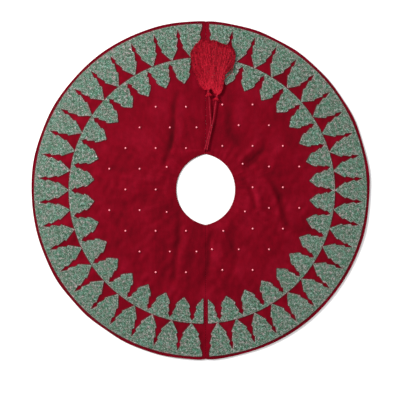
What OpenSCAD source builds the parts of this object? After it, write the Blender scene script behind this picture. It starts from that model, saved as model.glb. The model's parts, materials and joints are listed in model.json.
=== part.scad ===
// Round velvet tree skirt with beaded fir trees, scattered pearls, a piped hem and two tasselled ties.
// It lies flat. The origin is the centre of the trunk hole on the seam line, at the underside of the
// lining. +Z is up, +Y points to the slit and +X to the right half.
// Both halves are joined by the front seam, on the -Y side, and open along the slit, on the +Y side.

/* [Skirt] */
// Diameter over the piped hem
skirt_d = 1220; // [1120:10:1320]
// Sideways distance from the seam line to the centre of the hem circle
hem_shift_x = -19; // [-25:1:25]
// Distance along the seam line from the trunk hole to the centre of the hem circle
hem_shift_y = -2.5; // [-10:0.5:10]
// Clear width between the two halves along the seam and the slit
split_gap = 1.2; // [0.6:0.1:3]

/* [Trunk hole] */
// Diameter of the round part of the trunk hole
hole_d = 216; // [160:2:230]
// How far the hole's two corners reach beyond its round part
corner_reach = 20; // [8:1:30]
// Angle of each corner's foot from the seam line
corner_spread = 20; // [12:1:21]

/* [Fabric layers] */
// Thickness of the lining
lining_t = 0.6; // [0.4:0.1:1]
// Thickness of the backing and of the stay tape
backing_t = 0.6; // [0.4:0.1:1]
// Thickness of the velvet above the backing, pile included
velvet_t = 2.2; // [1.6:0.1:3]
// Width of the stay tape around the trunk hole
stay_tape_w = 12; // [8:1:16]

/* [Hem piping] */
// Outside diameter of the piping
piping_d = 4.8; // [4:0.1:6]
// Diameter of the filler cord in the piping
filler_d = 3; // [2:0.1:3.2]
// Width of the piping's sewn-in flange
flange_w = 9; // [6:1:12]

/* [Beaded trees] */
// Thickness of the beadwork
bead_t = 2.2; // [1.6:0.1:3]
// Trees in the outer ring of each half
outer_trees = 21; // [15:1:27]
// Tree pitches in the inner ring of each half: whole trees with half a tree at each end
inner_trees = 17; // [11:1:21]
// Plain strip beside the seam line in the outer ring
outer_strip = 14; // [8:1:20]
// Plain strip beside the seam line in the inner ring
inner_strip = 9; // [6:1:14]
// Distance from the hem's edge to the beadwork
bead_inset = 11; // [9:1:16]
// Sideways distance from the centre of the hem circle to the inner ring's centre
inner_shift_x = 5; // [0:0.5:6]
// Distance along the seam line from the centre of the hem circle to the inner ring's centre
inner_shift_y = -1; // [-3:0.5:3]
// Degrees by which the inner trees of the left half crowd towards its two ends
inner_crowd_left = 2; // [0:0.1:3]

/* [Pearls] */
// Diameter of a pearl
pearl_d = 6.4; // [5:0.1:6.6]
// Spacing of the pearls along a row
pearl_pitch = 109; // [100:1:120]
// Distance from one pearl row to the next
pearl_row_step = 74.5; // [68:0.5:80]
// Least distance from the seam line to a pearl on the right half
pearl_seam_min_right = 23; // [20:1:40]
// Least distance from the seam line to a pearl on the left half
pearl_seam_min_left = 33; // [20:1:40]
// Least distance from the middle of the trunk hole to a pearl
pearl_hole_min = 162; // [155:1:170]

/* [Ties] */
// Diameter of a tie cord
cord_d = 4.8; // [4:0.1:5.2]
// Height of the tie cords' centre line, which clears the pearls
tie_z = 13.5; // [12:0.1:16]
// Thickness of the ruff and the fringe of a tassel
tassel_t = 6.4; // [6:0.1:6.4]
// Length of the fringe
fringe_len = 178; // [120:2:200]
// Width of the fringe at its free end
fringe_w = 79; // [50:1:81]

/* [Hidden] */
$fn = 96;

right = 1;
left = -1;
far = 2 * skirt_d;              // larger than the whole skirt
half_gap = split_gap / 2;
fit = 0.3;                      // clearance between pieces laid side by side

// heights of the layers
backing_z = lining_t;
velvet_z = backing_z + backing_t;
face_z = velvet_z + velvet_t;   // top of the velvet

// radii about the centre of the hem circle
skirt_r = skirt_d / 2;
piping_r = piping_d / 2;
filler_play = 0.2;                      // by which the filler cord's channel is wider than the cord
piping_path_r = skirt_r - piping_r;
panel_r = skirt_r - piping_d - fit;     // edge of the velvet and of the lining
flange_in_r = panel_r - flange_w;
bead_out_r = skirt_r - bead_inset;

hole_r = hole_d / 2;
corner_tip = hole_r + corner_reach;

// A tree's outline, from its foot to its tip: distance in from the ring's outer edge, half-width in pitches.
// Three tiers of branches narrow towards a blunt tip.
outer_profile = [
    [14, 0.5], [39, 0.395],
    [47, 0.455], [74, 0.33],
    [80, 0.378], [112, 0.08], [118, 0.03]
];
inner_profile = [
    [8, 0.5], [23, 0.37],
    [29, 0.415], [52, 0.297],
    [57, 0.345], [67, 0.285], [82, 0.09], [88, 0.025]
];
outer_tree_h = 118;             // on average: the trees reach to the inner ring, which is off centre
inner_tree_h = 88;
ring_space = 2;                 // plain velvet between the outer trees' tips and the inner ring
backing_margin = 8;             // how far the backing reaches past the inner trees' tips
hem_centre = [hem_shift_x, hem_shift_y];
inner_shift = [inner_shift_x, inner_shift_y];
inner_centre = hem_centre + inner_shift;
inner_crowd = [0, inner_crowd_left];    // right half, left half
inner_out_r = bead_out_r - outer_tree_h - ring_space;
inner_tip_r = inner_out_r - inner_tree_h;
backing_in_r = inner_tip_r - backing_margin;
backing_out_r = flange_in_r - fit;

// pearls: each half has its own rows; odd rows start near the seam line, even rows half a pitch further out
pearl_rows = 4;                 // rows on each side of the middle one
pearl_start_odd = [10, 20];     // right half, left half
pearl_start_even = [60, 71];
pearl_middle_row = [8, 0];
pearl_seam_min = [pearl_seam_min_right, pearl_seam_min_left];
pearl_sunk = pearl_d / 4;       // depth of the flat ground off a pearl's back, below its middle
pearl_tree_gap = 20.5;          // least distance from a pearl to the trees' tips

// ties: both cords lie side by side from the slit's corner, then part
tab_y = [136, 154];
tab_w = 7;
tab_t = 4;
tab_round_r = 10;               // rounds the tab's outer corners
shank_d = 3;                    // thread shank between the tab and the knot
knot_d = 6.4;
bundle_foot = [1.5, 146];       // where the two cords start together
bundle_end = [20, 226];         // where they part
bundle_angle = atan2(bundle_end.y - bundle_foot.y, bundle_end.x - bundle_foot.x);
cord_spacing = 7.2;
cord_path_right = concat(bundle_line(right), [[31, 266], [36.5, 300], [40.5, 338]]);
cord_path_left = concat(bundle_line(left), [[15.8, 276], [12.4, 316], [9.9, 355]]);
ruff_len = 12;
ruff_foot_w = 9;
ruff_mouth_w = 25;
binding_d = 9.2;
binding_len = 7;
fringe_head_d = 7.2;
elbow_d = cord_d + 0.2;         // round elbow that covers the ends of two straight stretches
cord_play = 0.15;               // radial clearance around the cord in the ruff and in the binding
fringe_lean_right = 8;          // degrees the fringe leans from +Y, to the right
fringe_lean_left = -7.5;

// one cord's straight start, beside the line that the two cords share
function bundle_line(side) =
    let (aside = side * cord_spacing / 2 * [sin(bundle_angle), -cos(bundle_angle)])
    [bundle_foot + aside, bundle_end + aside];

// a point at a radius and an angle about a centre
function ring_point(centre, r, a) = centre + r * [cos(a), sin(a)];

// angle at which a circle meets the line beside the seam on one side
function line_angle(centre, r, side, away) = acos((side * away - centre.x) / r);

// start angle and span of one half's arc of a circle
function arc_start(centre, r, side, away) = -side * line_angle(centre, r, side, away);
function arc_span(centre, r, side, away) =
    side > 0 ? 2 * line_angle(centre, r, side, away) : 360 - 2 * line_angle(centre, r, side, away);

// direction from one point to another, in degrees from +X
function heading(p, q) = atan2(q.y - p.y, q.x - p.x);

// all of space on one side of the seam line
module side_space(side, away) {
    translate([side > 0 ? away : -far - away, -far / 2, -far / 2])
        cube(far);
}

// round hole with a pointed corner at the slit and one at the seam
module neck_opening(widen = 0) {
    r = hole_r + widen;
    foot = [r * sin(corner_spread), r * cos(corner_spread)];
    translate([0, 0, -1])
        linear_extrude(face_z + 2)
            union() {
                circle(r, $fn = 180);
                polygon([[-foot.x, foot.y], foot, [0, corner_tip + widen]]);
                polygon([[-foot.x, -foot.y], [0, -corner_tip - widen], [foot.x, -foot.y]]);
            }
}

// flat disc, about the hem's centre unless another is given
module hem_disc(r, z, t, centre = hem_centre) {
    translate([centre.x, centre.y, z])
        cylinder(h = t, r = r, $fn = 360);
}

// one half of a flat sheet with the trunk hole cut out
module half_sheet(side, z, t) {
    difference() {
        intersection() {
            hem_disc(panel_r, z, t);
            side_space(side, half_gap);
        }
        neck_opening();
    }
}

// velvet half, hollowed below for the flange, the backing and the stay tape
module velvet(side) {
    color([0.5, 0.03, 0.1])
        difference() {
            half_sheet(side, backing_z, backing_t + velvet_t);
            difference() {
                hem_disc(panel_r + 1, 0, velvet_z);
                hem_disc(backing_in_r - fit, -1, velvet_z + 2);
            }
            intersection() {
                neck_opening(stay_tape_w + fit);
                translate([0, 0, velvet_z - far])
                    cylinder(h = far, r = far);
            }
        }
}

module lining(side) {
    color([0.42, 0.05, 0.1])
        half_sheet(side, 0, lining_t);
}

// non-woven band that carries the beadwork's weight, between velvet and lining
module beadwork_backing(side) {
    color([0.9, 0.88, 0.84])
        difference() {
            intersection() {
                hem_disc(backing_out_r, backing_z, backing_t);
                side_space(side, half_gap);
            }
            hem_disc(backing_in_r, 0, face_z);
        }
}

// narrow tape inside the edge of the trunk hole, which keeps it from stretching
module neck_stay_tape(side) {
    color([0.85, 0.83, 0.8])
        intersection() {
            difference() {
                neck_opening(stay_tape_w);
                neck_opening();
            }
            translate([0, 0, backing_z])
                linear_extrude(backing_t)
                    square(far, center = true);
            side_space(side, half_gap);
        }
}

// points along one tree: out along one side of its outline and back along the other
function tree_points(profile, stretch, centre, base_r, place, angle_at) = concat(
    [for (p = profile) ring_point(centre, base_r - stretch * p[0], angle_at(place - p[1]))],
    [for (i = [len(profile) - 1 : -1 : 0])
        ring_point(centre, base_r - stretch * profile[i][0], angle_at(place + profile[i][1]))]
);

// Row of trees whose feet run into one band along base_r. A place counts trees from the start of
// the half's arc, and two functions give the angle of a place and the stretch of the tree there.
module tree_ring(profile, centre, base_r, first, last, angle_at, stretch_at) {
    beyond_r = base_r * 1.01;
    tree_side = [
        for (u = [first : last])
            each tree_points(profile, stretch_at(u), centre, base_r, u, angle_at)
    ];
    base_side = [for (u = [last : -1 : first - 1]) ring_point(centre, beyond_r, angle_at(u + 0.5))];
    intersection() {
        hem_disc(base_r, face_z, bead_t, centre);
        translate([0, 0, face_z - 1])
            linear_extrude(bead_t + 2)
                polygon(concat(tree_side, base_side));
    }
}

// each outer tree is stretched to end just short of the inner ring
module outer_tree_border(side) {
    start = arc_start(hem_centre, bead_out_r, side, outer_strip);
    pitch = arc_span(hem_centre, bead_out_r, side, outer_strip) / outer_trees;
    angle_at = function(u) start + pitch * u;
    stretch_at = function(u) 1 - inner_shift * [cos(angle_at(u)), sin(angle_at(u))] / outer_tree_h;
    color([0.44, 0.6, 0.5])
        tree_ring(outer_profile, hem_centre, bead_out_r, 0.5, outer_trees - 0.5, angle_at, stretch_at);
}

// the inner ring ends in half trees, cut off beside the seam line
module inner_tree_border(side) {
    start = arc_start(inner_centre, inner_out_r, side, inner_strip);
    pitch = arc_span(inner_centre, inner_out_r, side, inner_strip) / inner_trees;
    crowd = side > 0 ? inner_crowd[0] : inner_crowd[1];
    angle_at = function(u) start + pitch * u - crowd * sin(360 * u / inner_trees);
    color([0.42, 0.58, 0.48])
        intersection() {
            tree_ring(inner_profile, inner_centre, inner_out_r, 0, inner_trees, angle_at, function(u) 1);
            side_space(side, inner_strip);
        }
}

// moves a pearl out from the hole's edge, if it is too near
function clear_of_hole(p) = norm(p) < pearl_hole_min ? p * pearl_hole_min / norm(p) : p;

// pearl places on one half (0 right, 1 left) as distance from the seam line and y,
// kept clear of the hole, the seam line and the trees
function pearl_places(half) = [
    for (row = [-pearl_rows : pearl_rows])
        for (k = [0 : 4])
            let (
                odd = row % 2 != 0,
                start = odd ? pearl_start_odd[half] : pearl_start_even[half],
                x = start + k * pearl_pitch,
                y = pearl_middle_row[half] + row * pearl_row_step
            )
            if (norm([x, y]) > hole_r && norm([x, y]) < inner_tip_r - pearl_tree_gap)
                clear_of_hole([max(x, pearl_seam_min[half]), y])
];

// one pearl with a flat back, standing on the velvet
module pearl() {
    rise = pearl_d / 2 - pearl_sunk;
    intersection() {
        translate([0, 0, rise])
            sphere(d = pearl_d, $fn = 32);
        translate([-pearl_d, -pearl_d, 0])
            cube([2 * pearl_d, 2 * pearl_d, 2 * pearl_d]);
    }
}

module pearls(side) {
    color([0.95, 0.86, 0.86])
        for (p = pearl_places(side > 0 ? 0 : 1))
            translate([side * p.x, p.y, face_z])
                pearl();
}

// sweeps a flat section along the hem of one half
module along_hem(side) {
    translate([hem_shift_x, hem_shift_y, 0])
        rotate([0, 0, arc_start(hem_centre, piping_path_r, side, half_gap)])
            rotate_extrude(angle = arc_span(hem_centre, piping_path_r, side, half_gap), $fn = 360)
                children();
}

// fabric tube along the hem, with a flange between the velvet and the lining
module hem_piping(side) {
    color([0.45, 0.04, 0.14])
        along_hem(side)
            difference() {
                union() {
                    translate([piping_path_r, piping_r])
                        circle(piping_r, $fn = 32);
                    translate([flange_in_r, backing_z])
                        square([piping_path_r - flange_in_r, backing_t]);
                }
                translate([piping_path_r, piping_r])
                    circle(d = filler_d + filler_play, $fn = 32);
            }
}

module hem_filler_cord(side) {
    color([0.93, 0.91, 0.86])
        along_hem(side)
            translate([piping_path_r, piping_r])
                circle(d = filler_d, $fn = 32);
}

// thread that joins the two halves, laid in the gap between them from the hole's corner to the
// piping's flange
module front_seam_thread() {
    thread_d = split_gap * 0.6;
    thread_start = corner_tip + 2;
    thread_end = flange_in_r - hem_shift_y - 2;
    color([0.4, 0.03, 0.08])
        translate([0, -thread_start, backing_z + thread_d])
            rotate([90, 0, 0])
                cylinder(h = thread_end - thread_start, d = thread_d, $fn = 24);
}

// folded tab sewn to one corner of the slit, with a thread shank under the cord's knot
module tie_tab(side, path) {
    shank_top = tie_z - knot_d / 2 - fit;
    color([0.55, 0.08, 0.12])
        union() {
            intersection() {
                translate([side > 0 ? half_gap : -half_gap - tab_w, tab_y[0], face_z])
                    cube([tab_w, tab_y[1] - tab_y[0], tab_t]);
                translate([0, (tab_y[0] + tab_y[1]) / 2, 0])
                    cylinder(h = far, r = tab_round_r);
            }
            translate([path[0].x, path[0].y, face_z])
                cylinder(h = shank_top - face_z, d = shank_d, $fn = 32);
        }
}

// knot at the foot of one cord
module tie_knot(path) {
    color([0.6, 0.1, 0.15])
        translate([path[0].x, path[0].y, tie_z])
            sphere(d = knot_d, $fn = 48);
}

// straight round rod between two points at the ties' height
module rod(p, q, d) {
    translate([p.x, p.y, tie_z])
        rotate([0, 90, heading(p, q)])
            cylinder(h = norm(q - p), d = d, $fn = 32);
}

// cord along its path, with round elbows and a hollow foot that clears the knot
module tie_cord(path) {
    last = len(path) - 1;
    color([0.6, 0.1, 0.17])
        difference() {
            union() {
                for (i = [0 : last - 1])
                    rod(path[i], path[i + 1], cord_d);
                for (i = [1 : last - 1])
                    translate([path[i].x, path[i].y, tie_z])
                        sphere(d = elbow_d, $fn = 32);
            }
            translate([path[0].x, path[0].y, tie_z])
                sphere(d = knot_d + 2 * fit, $fn = 48);
        }
}

// places its children at the end of a cord, with +X along the cord
module at_cord_end(path) {
    last = len(path) - 1;
    translate([path[last].x, path[last].y, tie_z])
        rotate([0, 0, heading(path[last - 1], path[last])])
            children();
}

// space for the cord through the tassel's ruff and binding
module cord_bore(path) {
    last = len(path) - 1;
    reach = ruff_len + binding_len + 1;
    translate([-reach, 0, 0])
        rotate([0, 90, 0])
            cylinder(h = reach + 1, r = cord_d / 2 + cord_play, $fn = 32);
}

// ruff: fan of short yarn that opens back along the cord
module tassel_ruff(path) {
    color([0.7, 0.1, 0.15])
        at_cord_end(path)
            difference() {
                translate([-binding_len - ruff_len - fit, 0, -tassel_t / 2])
                    linear_extrude(tassel_t)
                        polygon([
                            [0, -ruff_mouth_w / 2],
                            [ruff_len, -ruff_foot_w / 2],
                            [ruff_len, ruff_foot_w / 2],
                            [0, ruff_mouth_w / 2]
                        ]);
                cord_bore(path);
            }
}

// binding: thread wound around the cord's end
module tassel_binding(path) {
    color([0.62, 0.08, 0.12])
        at_cord_end(path)
            difference() {
                translate([-binding_len, 0, 0])
                    rotate([0, 90, 0])
                        cylinder(h = binding_len, d = binding_d, $fn = 48);
                translate([-binding_len - 1, 0, 0])
                    rotate([0, 90, 0])
                        cylinder(h = binding_len + 2, r = cord_d / 2 + cord_play, $fn = 32);
            }
}

// fringe: flat brush of yarn with a round head, which pivots just past the binding
module tassel_fringe(path, lean) {
    head = fringe_head_d / 2;
    last = len(path) - 1;
    a = heading(path[last - 1], path[last]);
    pivot = path[last] + (head + fit) * [cos(a), sin(a)];
    color([0.74, 0.1, 0.16])
        translate([pivot.x, pivot.y, tie_z - tassel_t / 2])
            rotate([0, 0, -lean])
                linear_extrude(tassel_t)
                    union() {
                        circle(head, $fn = 32);
                        polygon([
                            [-head * 0.9, 0],
                            [head * 0.9, 0],
                            [fringe_w / 2, fringe_len],
                            [-fringe_w / 2, fringe_len]
                        ]);
                    }
}

velvet(right);  // velvet_right
velvet(left);  // velvet_left
lining(right);  // lining_right
lining(left);  // lining_left
beadwork_backing(right);  // beadwork_backing_right
beadwork_backing(left);  // beadwork_backing_left
neck_stay_tape(right);  // neck_stay_tape_right
neck_stay_tape(left);  // neck_stay_tape_left
outer_tree_border(right);  // outer_tree_border_right
outer_tree_border(left);  // outer_tree_border_left
inner_tree_border(right);  // inner_tree_border_right
inner_tree_border(left);  // inner_tree_border_left
pearls(right);  // pearls_right
pearls(left);  // pearls_left
hem_piping(right);  // hem_piping_right
hem_piping(left);  // hem_piping_left
hem_filler_cord(right);  // hem_filler_cord_right
hem_filler_cord(left);  // hem_filler_cord_left
front_seam_thread();
tie_tab(right, cord_path_right);  // tie_tab_right
tie_tab(left, cord_path_left);  // tie_tab_left
tie_knot(cord_path_right);  // tie_knot_right
tie_knot(cord_path_left);  // tie_knot_left
tie_cord(cord_path_right);  // tie_cord_right
tie_cord(cord_path_left);  // tie_cord_left
tassel_ruff(cord_path_right);  // tassel_ruff_right
tassel_ruff(cord_path_left);  // tassel_ruff_left
tassel_binding(cord_path_right);  // tassel_binding_right
tassel_binding(cord_path_left);  // tassel_binding_left
tassel_fringe(cord_path_right, fringe_lean_right);  // tassel_fringe_right
tassel_fringe(cord_path_left, fringe_lean_left);  // tassel_fringe_left
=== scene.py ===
"""Looks of the velvet tree skirt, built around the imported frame.

Lengths are metres in the row frame: +Z up, +Y towards the slit, +X to the right half.
Every CAD solid here is soft goods, so each is replaced by a finished mesh in the same place.
"""
import json
import math

import bmesh
import bpy
import numpy as np
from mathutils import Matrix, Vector
from mathutils.bvhtree import BVHTree

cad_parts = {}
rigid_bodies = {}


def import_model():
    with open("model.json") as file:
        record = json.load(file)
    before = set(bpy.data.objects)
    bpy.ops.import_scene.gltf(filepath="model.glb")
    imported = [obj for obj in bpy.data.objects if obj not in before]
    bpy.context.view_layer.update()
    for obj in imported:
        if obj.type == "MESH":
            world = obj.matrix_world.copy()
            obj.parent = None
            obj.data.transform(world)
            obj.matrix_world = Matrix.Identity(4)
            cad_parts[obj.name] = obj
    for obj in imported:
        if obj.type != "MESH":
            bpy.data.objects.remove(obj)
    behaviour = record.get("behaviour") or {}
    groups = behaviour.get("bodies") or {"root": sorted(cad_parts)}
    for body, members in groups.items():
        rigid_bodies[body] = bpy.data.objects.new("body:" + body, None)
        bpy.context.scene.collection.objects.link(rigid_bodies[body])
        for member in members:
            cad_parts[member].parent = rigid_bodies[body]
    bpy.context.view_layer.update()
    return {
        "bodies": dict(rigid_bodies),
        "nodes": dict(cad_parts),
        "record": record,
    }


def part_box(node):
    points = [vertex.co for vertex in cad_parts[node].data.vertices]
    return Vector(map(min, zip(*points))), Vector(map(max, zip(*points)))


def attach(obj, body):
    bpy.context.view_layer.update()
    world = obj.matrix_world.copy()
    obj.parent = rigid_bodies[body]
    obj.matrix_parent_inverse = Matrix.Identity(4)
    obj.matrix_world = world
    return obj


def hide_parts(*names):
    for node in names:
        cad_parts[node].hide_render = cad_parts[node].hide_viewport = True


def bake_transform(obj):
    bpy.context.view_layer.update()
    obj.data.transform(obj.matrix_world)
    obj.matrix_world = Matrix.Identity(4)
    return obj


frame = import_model()

MM = 0.001
SIDES = {"right": 1, "left": -1}

# ---------------------------------------------------------------- sizes, read from the frame


def node_points(node):
    """Vertices of a CAD node."""
    return np.array([v.co for v in frame["nodes"][node].data.vertices], float)


def box_centre(node):
    low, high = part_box(node)
    return (low + high) / 2


pipe_low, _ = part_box("hem_piping_left")
_, pipe_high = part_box("hem_piping_right")
HEM_R = (pipe_high.x - pipe_low.x) / 2
HEM_X = (pipe_high.x + pipe_low.x) / 2
HEM_Y = (pipe_high.y + pipe_low.y) / 2
PIPE_R = (pipe_high.z - pipe_low.z) / 2
PIPE_PATH_R = HEM_R - PIPE_R
panel_low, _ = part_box("velvet_left")
_, panel_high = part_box("velvet_right")
PANEL_R = (panel_high.x - panel_low.x) / 2
LINING_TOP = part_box("lining_right")[1].z
BACKING_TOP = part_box("beadwork_backing_right")[1].z
LAYER_GAP = 0.05 * MM      # between the lining and what lies on it
FACE = panel_high.z
mounts = {m["name"]: m for m in frame["record"]["mounts"]}
HOLE_R = mounts["trunk_hole"]["dims"]["r_mm"] * MM
seam_side = node_points("velvet_right")
seam_side = seam_side[seam_side[:, 0] < seam_side[:, 0].min() + 0.05 * MM]
HOLE_TIP = np.abs(seam_side[:, 1]).min()
TIE_FOOT_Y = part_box("tie_knot_right")[0].y
piping_points = node_points("hem_piping_right")
flange_r = np.hypot(piping_points[:, 0] - HEM_X, piping_points[:, 1] - HEM_Y).min()
FLANGE_REACH = PIPE_PATH_R - flange_r

# ---------------------------------------------------------------- shape of the cloth

EDGE_GAP = 0.12 * MM       # from the seam line to the edge of each half
HOLE_WAIST = 0.98 * HOLE_R  # the hole's half-width, where it is narrowest
HOLE_POINT = 1.75          # how sharply the hole draws out to its two corners

# Soft folds that the velvet lies in: ends, half-width and height in mm. A negative height is a crease.
FOLDS = (
    ((-97, 362), (-146, 70), 11, -2.6),
    ((-78, 350), (-112, 120), 15, 2.2),
    ((-170, 330), (-205, 150), 26, 1.6),
    ((-95, -60), (-112, -360), 13, -2.2),
    ((-70, -130), (-84, -330), 14, 2.0),
    ((-140, -150), (-150, -350), 16, -1.5),
    ((-180, -110), (-210, -330), 22, 1.5),
    ((-300, 60), (-150, 20), 20, 1.2),
    ((-330, -60), (-170, -40), 20, -1.0),
    ((28, -140), (-12, -350), 12, -2.3),
    ((62, -120), (40, -340), 18, 2.0),
    ((110, -130), (92, -330), 14, -1.5),
    ((205, 215), (120, 90), 11, 2.6),
    ((225, 180), (140, 60), 12, -2.2),
    ((130, 60), (190, -75), 12, -2.4),
    ((150, 40), (225, -110), 14, 2.2),
    ((225, 60), (310, -150), 12, -2.6),
    ((205, 75), (280, -130), 14, 2.0),
    ((270, 190), (240, 60), 16, 1.6),
    ((70, 300), (110, 150), 16, -1.6),
    ((120, 330), (130, 200), 18, 1.6),
)


def smooth_step(value):
    t = np.clip(value, 0, 1)
    return t * t * (3 - 2 * t)


def hole_outline(turn):
    """Radius of the hole's outline, where turn is 0 at its widest and -1 or 1 at its two corners."""
    return HOLE_WAIST + (HOLE_TIP - HOLE_WAIST) * np.abs(turn) ** HOLE_POINT


def hole_radius(x, y):
    """Distance from the origin to the hole's outline, in the direction of each point."""
    return hole_outline(np.arctan2(y, np.abs(x)) / (math.pi / 2))


def plane_waves(x, y, seed, count, shortest, longest):
    """Smooth random field with values of about -1 to 1, from waves of the given lengths in metres."""
    waves = np.random.default_rng(seed)
    total = np.zeros_like(x)
    for _ in range(count):
        heading = waves.uniform(0, math.pi)
        length = waves.uniform(shortest, longest)
        phase = waves.uniform(0, 2 * math.pi)
        total += np.cos(2 * math.pi * (x * math.cos(heading) + y * math.sin(heading)) / length + phase)
    return total * math.sqrt(2 / count) / 1.6


def fold_height(x, y, start, end, half_width, height):
    """One fold along a gently bent line, faded out at both ends."""
    a = np.array(start) * MM
    d = np.array(end) * MM - a
    length = np.hypot(*d)
    along = ((x - a[0]) * d[0] + (y - a[1]) * d[1]) / length**2
    across = ((x - a[0]) * d[1] - (y - a[1]) * d[0]) / length
    bend = 6 * MM * np.sin(2.2 * math.pi * along + start[0])
    fade = np.sqrt(np.clip(4 * along * (1 - along), 0, 1))
    return height * MM * fade * np.exp(-((across + bend) / (half_width * MM)) ** 2)


def beyond_ties(x, y):
    """0 where the ties lie and sweep, 1 on the rest of the skirt."""
    turn = np.degrees(np.abs(np.arctan2(x, y - TIE_FOOT_Y)))
    return smooth_step((turn - 84) / 14)


def lift(x, y):
    """How far the cloth stands above its flat CAD place. It is never below it, and it stays low
    under the ties."""
    x = np.asarray(x, float)
    y = np.asarray(y, float)
    from_hole = np.hypot(x, y) - hole_radius(x, y)
    from_hem = HEM_R - np.hypot(x - HEM_X, y - HEM_Y)
    free = beyond_ties(x, y)
    relaxed = (1.5 + 2.3 * free) * MM
    broad = (0.7 + 0.7 * free) * MM * plane_waves(x, y, 5, 14, 0.09, 0.24)
    small = (0.25 + 0.2 * free) * MM * plane_waves(x, y, 6, 18, 0.026, 0.05)
    folded = (0.8 + 0.7 * free) * sum(fold_height(x, y, *fold) for fold in FOLDS)
    height = relaxed + broad + small + folded
    softening = 0.8 * MM
    height = 0.5 * (height + np.sqrt(height**2 + softening**2))
    cap = (2.3 + 8.7 * free) * MM
    height = height * cap / (height**4 + cap**4) ** 0.25
    height *= 0.3 + 0.7 * smooth_step(from_hole / (35 * MM))
    height *= 0.35 + 0.65 * smooth_step(from_hem / (50 * MM))
    beside_slit = smooth_step(y / (50 * MM) + 0.5)
    held_down = 0.3 + 0.55 * beside_slit
    held_width = (20 - 10 * beside_slit) * MM
    return height * (1 - held_down * np.exp(-((x / held_width) ** 2)))


def painted_shade_and_streaks(x, y):
    """Painted light and shade for the velvet's colour: above 0 on ridges and slopes that face the lamp,
    below 0 in creases. Faint streaks of the pile run outwards from the hole."""
    step = 2 * MM
    dx, dy = 0.8 * step, -0.6 * step
    slope = (lift(x + dx, y + dy) - lift(x - dx, y - dy)) / (2 * step)
    painted_fold_shade = sum(fold_height(x, y, *fold) for fold in FOLDS) / (3 * MM)
    streaks = plane_waves(0.3 * np.arctan2(x, -y), 0.2 * np.hypot(x, y), 12, 24, 0.016, 0.06)
    shade_boost_under_ties = 1 + 0.6 * (1 - beyond_ties(x, y))
    # Painted light and shade: lighter on slopes that face the lamp and on ridges, darker in creases, more
    # so under the ties.
    shade = 0.45 * slope + shade_boost_under_ties * np.where(painted_fold_shade < 0, 0.24, 0.12) * painted_fold_shade + 0.035 * streaks
    return np.clip(shade, -0.4, 0.4)


def hole_edge(side, share):
    """Point on the hole's outline: share 0 at the seam, 1 at the slit."""
    turn = 2 * share - 1
    radius = hole_outline(turn)
    angle = turn * math.pi / 2
    return side * np.maximum(radius * np.cos(angle), EDGE_GAP), radius * np.sin(angle)


def hem_edge(side, share, radius, gap=EDGE_GAP):
    """Point on a circle about the hem's centre, on one half: share 0 at the seam, 1 at the slit."""
    reach = math.acos((side * gap - HEM_X) / radius)
    span = 2 * reach if side > 0 else 2 * math.pi - 2 * reach
    angle = -reach + side * share * span
    return HEM_X + radius * np.cos(angle), HEM_Y + radius * np.sin(angle)


def sewn_hem(side, share, radius, gap=EDGE_GAP):
    """Points along the hem, with the small waver of a sewn edge."""
    x, y = hem_edge(side, share, radius, gap)
    waver = 1.5 * MM * plane_waves(x, y, 9, 10, 0.09, 0.3) * smooth_step(np.abs(x) / 0.03)
    return x + (x - HEM_X) / radius * waver, y + (y - HEM_Y) / radius * waver


def graded(length, step, edge_steps):
    """Shares from 0 to 1 along a length: short steps at both ends, even ones between."""
    ends = np.cumsum([0] + list(edge_steps))
    count = max(2, int(round((length - 2 * ends[-1]) / step)))
    middle = np.linspace(ends[-1], length - ends[-1], count + 1)
    return np.concatenate([ends[:-1], middle, length - ends[:-1][::-1]]) / length


def half_grid(side, across, along):
    """Grid over one half: across runs from the seam to the slit, along from the hole to the hem.
    Returns x, y and the distances to the hole's edge and to the hem's edge."""
    ix, iy = hole_edge(side, across)
    ox, oy = sewn_hem(side, across, PANEL_R)
    v = along[:, None]
    x = ix * (1 - v) + ox * v
    y = iy * (1 - v) + oy * v
    reach = np.hypot(ox - ix, oy - iy)
    return x, y, v * reach, (1 - v) * reach


def rounded(distance, width, depth):
    """How far a turned edge drops below the cloth's face at a distance from it."""
    t = 1 - np.clip(distance / width, 0, 1)
    return depth * (1 - np.sqrt(np.clip(1 - t * t, 0, 1)))


# ---------------------------------------------------------------- mesh building


def new_object(name, points, faces, material, smooth=True):
    mesh = bpy.data.meshes.new(name)
    mesh.from_pydata(points, [], faces)
    mesh.materials.append(material)
    mesh.polygons.foreach_set("use_smooth", [smooth] * len(mesh.polygons))
    mesh.update()
    obj = bpy.data.objects.new(name, mesh)
    bpy.context.scene.collection.objects.link(obj)
    return obj


def face_outwards(obj):
    work = bmesh.new()
    work.from_mesh(obj.data)
    bmesh.ops.recalc_face_normals(work, faces=work.faces)
    work.to_mesh(obj.data)
    work.free()


def grid_faces(rows, columns, first=0, wrap=False):
    """Quads of a grid whose points are numbered row by row; wrap joins the last column to the first."""
    r = np.arange(rows - 1)[:, None] * columns + first
    c = np.arange(columns if wrap else columns - 1)[None, :]
    n = (c + 1) % columns
    quads = np.stack([r + c, r + n, r + columns + n, r + columns + c], axis=-1)
    return quads.reshape(-1, 4)


def sheet(name, x, y, low, high, material):
    """Closed sheet over a grid, between two heights."""
    rows, columns = x.shape
    count = rows * columns
    points = np.concatenate([
        np.stack([x, y, high], axis=-1).reshape(-1, 3),
        np.stack([x, y, low], axis=-1).reshape(-1, 3),
    ])
    top = grid_faces(rows, columns)
    index = np.arange(count).reshape(rows, columns)
    rim = np.concatenate([index[0], index[1:, -1], index[-1, -2::-1], index[-2:0:-1, 0]])
    after = np.roll(rim, -1)
    wall = np.stack([rim, rim + count, after + count, after], axis=-1)
    faces = np.concatenate([top, top[:, ::-1] + count, wall])
    obj = new_object(name, points.tolist(), faces.tolist(), material)
    face_outwards(obj)
    return obj


def set_tint(obj, values):
    """Stores one number for each vertex, for the material to use."""
    attribute = obj.data.attributes.new("tint", "FLOAT", "POINT")
    attribute.data.foreach_set("value", np.asarray(values, np.float32))


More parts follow.
